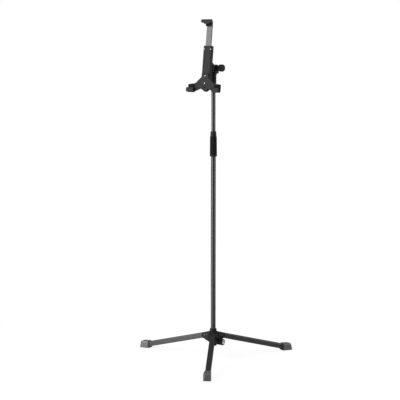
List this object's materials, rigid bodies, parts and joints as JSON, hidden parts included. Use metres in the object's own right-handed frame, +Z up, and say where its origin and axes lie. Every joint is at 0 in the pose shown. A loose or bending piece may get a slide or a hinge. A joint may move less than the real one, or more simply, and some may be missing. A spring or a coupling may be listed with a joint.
{
  "type": "tablet floor stand",
  "caption": "Floor stand for a tablet: folding splayed legs, a telescopic pole with a twist clutch, and a tilting, turning holder with lower hooks and a sliding upper jaw.",
  "frame": {"origin": "on the floor, under the pole axis", "axes": "+Z up along the pole; the holder faces -Y; one leg points along -X"},
  "size_m": [0.5317, 0.6122, 1.3028],
  "materials": {
    "powder_coated_steel": "fine satin black powder coat",
    "moulded_plastic": "fine-grained black moulding",
    "rubber": "matte black rubber",
    "grey_rubber": "smooth dark grey rubber",
    "zinc_steel": "zinc-plated",
    "chrome_cap": "bright plated",
    "brass": "turned",
    "acetal": "natural grey acetal"
  },
  "bodies": {
    "hub": {"hub_body": "moulded_plastic", "hub_collar": "moulded_plastic", "hub_insert": "brass", "leg_pivot_pins": "powder_coated_steel", "leg_stop_pins": "powder_coated_steel"},
    "leg_left": {"leg_tube_left": "powder_coated_steel", "leg_plug_left": "moulded_plastic", "foot_collar_left": "moulded_plastic", "foot_cap_left": "grey_rubber"},
    "leg_front": {"leg_tube_front": "powder_coated_steel", "leg_plug_front": "moulded_plastic", "foot_collar_front": "moulded_plastic", "foot_cap_front": "grey_rubber"},
    "leg_rear": {"leg_tube_rear": "powder_coated_steel", "leg_plug_rear": "moulded_plastic", "foot_collar_rear": "moulded_plastic", "foot_cap_rear": "grey_rubber"},
    "hub_clamp_pad": {"hub_pad": "brass"},
    "hub_clamp_knob": {"hub_screw": "zinc_steel", "hub_knob": "moulded_plastic", "hub_knob_cap": "chrome_cap"},
    "lower_pole": {"lower_tube": "powder_coated_steel", "lower_plug": "moulded_plastic", "clutch_base": "moulded_plastic", "clutch_collet": "acetal"},
    "clutch": {"clutch_sleeve": "moulded_plastic", "clutch_grip": "rubber"},
    "pole_glide": {"tube_glide": "acetal"},
    "upper_pole": {"upper_tube": "powder_coated_steel", "head_fork": "moulded_plastic", "fork_set_screw": "zinc_steel", "tilt_bolt": "zinc_steel", "tilt_friction_washers": "acetal"},
    "tilt_clamp_washer": {"tilt_washer": "zinc_steel"},
    "tilt_clamp_knob": {"tilt_knob": "moulded_plastic"},
    "tilt_head": {"tilt_block": "moulded_plastic", "turn_insert": "brass", "turn_washer": "acetal", "turn_screw": "zinc_steel"},
    "holder": {"holder_spine": "moulded_plastic", "spine_cover": "moulded_plastic", "cradle": "moulded_plastic", "hook_left": "moulded_plastic", "hook_right": "moulded_plastic", "holder_screws": "zinc_steel", "seat_pad_left": "rubber", "seat_pad_right": "rubber", "rest_pad_left": "rubber", "rest_pad_right": "rubber", "rail_lock_insert": "brass"},
    "rail_lock_foot": {"rail_lock_tip": "brass"},
    "rail_lock": {"rail_lock_screw": "zinc_steel", "rail_lock_knob": "moulded_plastic"},
    "jaw": {"slide_rail": "powder_coated_steel", "upper_jaw": "moulded_plastic", "jaw_screws": "zinc_steel", "jaw_pad": "rubber", "jaw_rest_pad": "rubber"}
  },
  "joints": [
    {"name": "leg_left_fold", "type": "hinge", "parent": "hub", "child": "leg_left", "pos_m": [-0.03106, 0, 0.0903], "axis": [0, -1, 0], "range_deg": [0, 75]},
    {"name": "leg_front_fold", "type": "hinge", "parent": "hub", "child": "leg_front", "pos_m": [0.01553, -0.0269, 0.0903], "axis": [0.866, 0.5, 0], "range_deg": [0, 75]},
    {"name": "leg_rear_fold", "type": "hinge", "parent": "hub", "child": "leg_rear", "pos_m": [0.01553, 0.0269, 0.0903], "axis": [-0.866, 0.5, 0], "range_deg": [0, 75]},
    {"name": "hub_clamp_travel", "type": "slide", "parent": "hub", "child": "hub_clamp_pad", "axis": [1, 0, 0], "range_m": [0, 0.0025]},
    {"name": "hub_clamp_turn", "type": "hinge", "parent": "hub_clamp_pad", "child": "hub_clamp_knob", "pos_m": [0.04, 0, 0.06912], "axis": [1, 0, 0], "range_deg": [0, 720]},
    {"name": "pole_lift", "type": "slide", "parent": "hub", "child": "lower_pole", "axis": [0, 0, 1], "range_m": [0, 0.06]},
    {"name": "clutch_twist", "type": "hinge", "parent": "lower_pole", "child": "clutch", "pos_m": [0, 0, 0.83122], "axis": [0, 0, -1], "range_deg": [0, 90]},
    {"name": "height_slide", "type": "slide", "parent": "lower_pole", "child": "pole_glide", "axis": [0, 0, 1], "range_m": [-0.178, 0.25]},
    {"name": "pole_turn", "type": "hinge", "parent": "pole_glide", "child": "upper_pole", "pos_m": [0, 0, 0.79422], "axis": [0, 0, 1], "continuous": true},
    {"name": "tilt_clamp_travel", "type": "slide", "parent": "upper_pole", "child": "tilt_clamp_washer", "axis": [1, 0, 0], "range_m": [0, 0.0025]},
    {"name": "tilt_clamp_turn", "type": "hinge", "parent": "tilt_clamp_washer", "child": "tilt_clamp_knob", "pos_m": [0.035, 0, 1.12122], "axis": [1, 0, 0], "range_deg": [0, 720]},
    {"name": "head_tilt", "type": "hinge", "parent": "upper_pole", "child": "tilt_head", "pos_m": [0, 0, 1.12122], "axis": [-1, 0, 0], "range_deg": [-12, 83]},
    {"name": "holder_turn", "type": "hinge", "parent": "tilt_head", "child": "holder", "pos_m": [0, -0.02978, 1.12488], "axis": [0, -0.9925, 0.1219], "continuous": true},
    {"name": "rail_lock_travel", "type": "slide", "parent": "holder", "child": "rail_lock_foot", "axis": [0, 0.9925, -0.1219], "range_m": [0, 0.002]},
    {"name": "rail_lock_turn", "type": "hinge", "parent": "rail_lock_foot", "child": "rail_lock", "pos_m": [0, -0.01973, 1.18208], "axis": [0, 0.9925, -0.1219], "range_deg": [0, 720]},
    {"name": "jaw_slide", "type": "slide", "parent": "holder", "child": "jaw", "axis": [0, 0.1219, 0.9925], "range_m": [-0.068, 0.04]}
  ],
  "couplings": [
    {"joint": "hub_clamp_turn", "follows": "hub_clamp_travel", "rad_per_m": 5026.5},
    {"joint": "tilt_clamp_turn", "follows": "tilt_clamp_travel", "rad_per_m": 5026.5},
    {"joint": "rail_lock_turn", "follows": "rail_lock_travel", "rad_per_m": 6283.2}
  ]
}
